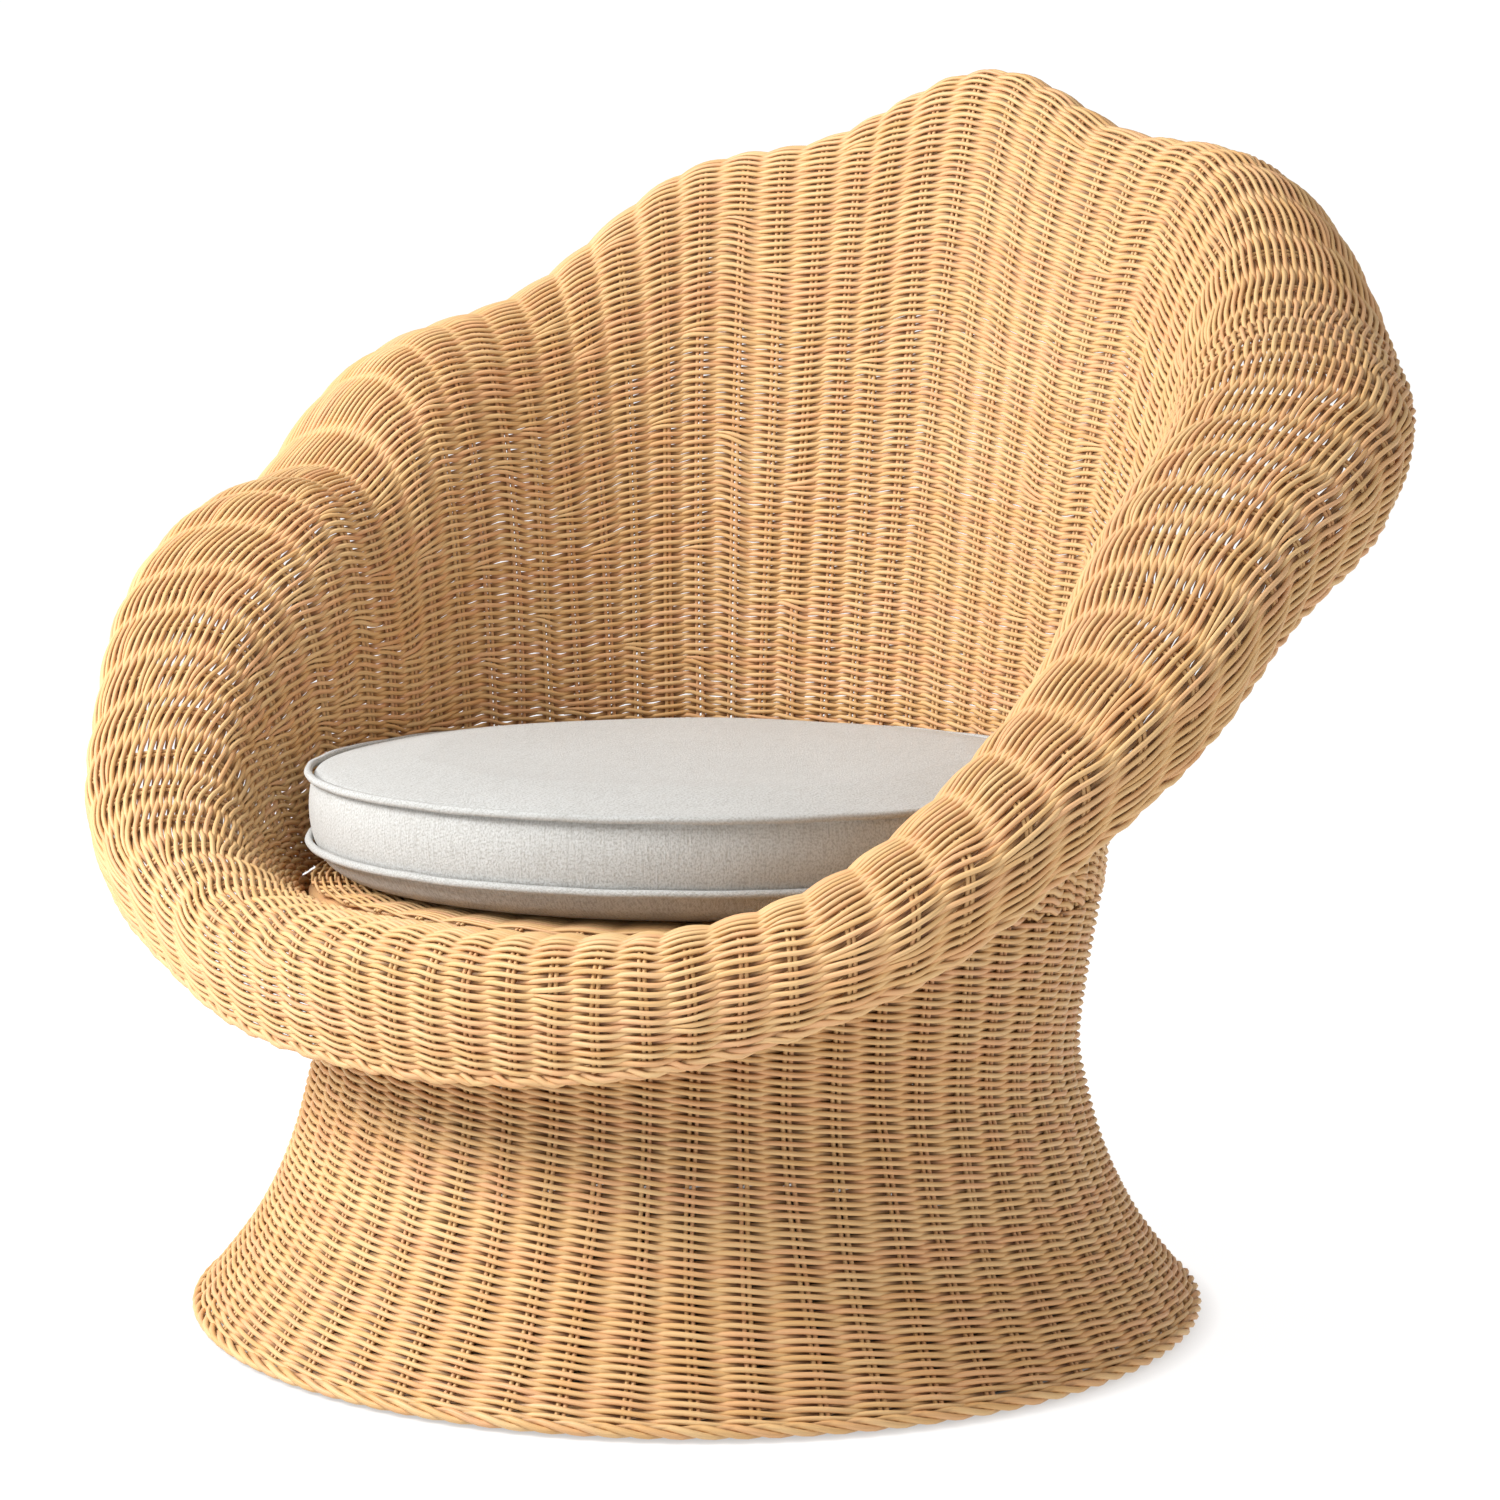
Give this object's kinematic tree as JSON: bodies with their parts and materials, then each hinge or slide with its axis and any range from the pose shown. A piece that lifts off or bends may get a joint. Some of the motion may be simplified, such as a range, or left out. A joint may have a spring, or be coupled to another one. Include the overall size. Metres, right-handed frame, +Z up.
{
  "type": "wicker lounge chair",
  "caption": "Free-standing woven rattan lounge chair with a waisted round base, a high-backed bowl seat with a scalloped rolled rim, and a loose round piped cushion.",
  "frame": {"origin": "on the floor, under the middle of the whole chair's box", "axes": "+Z up, +Y towards the high back, +X towards the sitter's left when seated facing the front (-Y)"},
  "size_m": [1.0926, 0.953, 1.0208],
  "materials": {
    "woven_rattan": "satin natural cane, woven",
    "rattan_pole": "satin natural rattan pole",
    "cushion_cloth": "slubbed woven cloth",
    "piping_cloth": "slubbed woven cloth on a cord",
    "foam": "open-cell foam",
    "zip_tape": "woven tape",
    "zip_metal": "satin",
    "nail_steel": "plain",
    "glide_nylon": "matte"
  },
  "bodies": {
    "frame": {"back_stay_1": "rattan_pole", "back_stay_2": "rattan_pole", "back_stay_3": "rattan_pole", "back_stay_4": "rattan_pole", "back_stay_5": "rattan_pole", "base_hem": "woven_rattan", "base_skirt": "woven_rattan", "collar_braid": "woven_rattan", "floor_ring": "rattan_pole", "glide_1": "glide_nylon", "glide_2": "glide_nylon", "glide_3": "glide_nylon", "glide_4": "glide_nylon", "glide_5": "glide_nylon", "glide_6": "glide_nylon", "glide_nail_1": "nail_steel", "glide_nail_2": "nail_steel", "glide_nail_3": "nail_steel", "glide_nail_4": "nail_steel", "glide_nail_5": "nail_steel", "glide_nail_6": "nail_steel", "lip_border": "woven_rattan", "lip_hoop": "rattan_pole", "post_1": "rattan_pole", "post_2": "rattan_pole", "post_3": "rattan_pole", "post_4": "rattan_pole", "post_5": "rattan_pole", "post_6": "rattan_pole", "post_binding_1": "woven_rattan", "post_binding_2": "woven_rattan", "post_binding_3": "woven_rattan", "post_binding_4": "woven_rattan", "post_binding_5": "woven_rattan", "post_binding_6": "woven_rattan", "rim_hoop": "rattan_pole", "seat_deck": "woven_rattan", "seat_rail_1": "rattan_pole", "seat_rail_2": "rattan_pole", "seat_rail_3": "rattan_pole", "seat_rail_4": "rattan_pole", "seat_ring": "rattan_pole", "shell": "woven_rattan", "waist_nail_1": "nail_steel", "waist_nail_2": "nail_steel", "waist_nail_3": "nail_steel", "waist_nail_4": "nail_steel", "waist_nail_5": "nail_steel", "waist_nail_6": "nail_steel", "waist_ring": "rattan_pole"},
    "cushion": {"cushion_boxing": "cushion_cloth", "cushion_cover_bottom": "cushion_cloth", "cushion_cover_top": "cushion_cloth", "cushion_foam": "foam", "cushion_piping_bottom": "piping_cloth", "cushion_piping_top": "piping_cloth", "zip_tape": "zip_tape"},
    "zip_slider": {"zip_slider": "zip_metal"}
  },
  "joints": [
    {"name": "cushion_lift", "type": "slide", "parent": "frame", "child": "cushion", "axis": [0, 0, 1], "range_m": [0, 0.7]},
    {"name": "zip_slide", "type": "hinge", "parent": "cushion", "child": "zip_slider", "pos_m": [0, -0.0615, 0.4118], "axis": [0, 0, 1], "range_deg": [0, 100]}
  ]
}
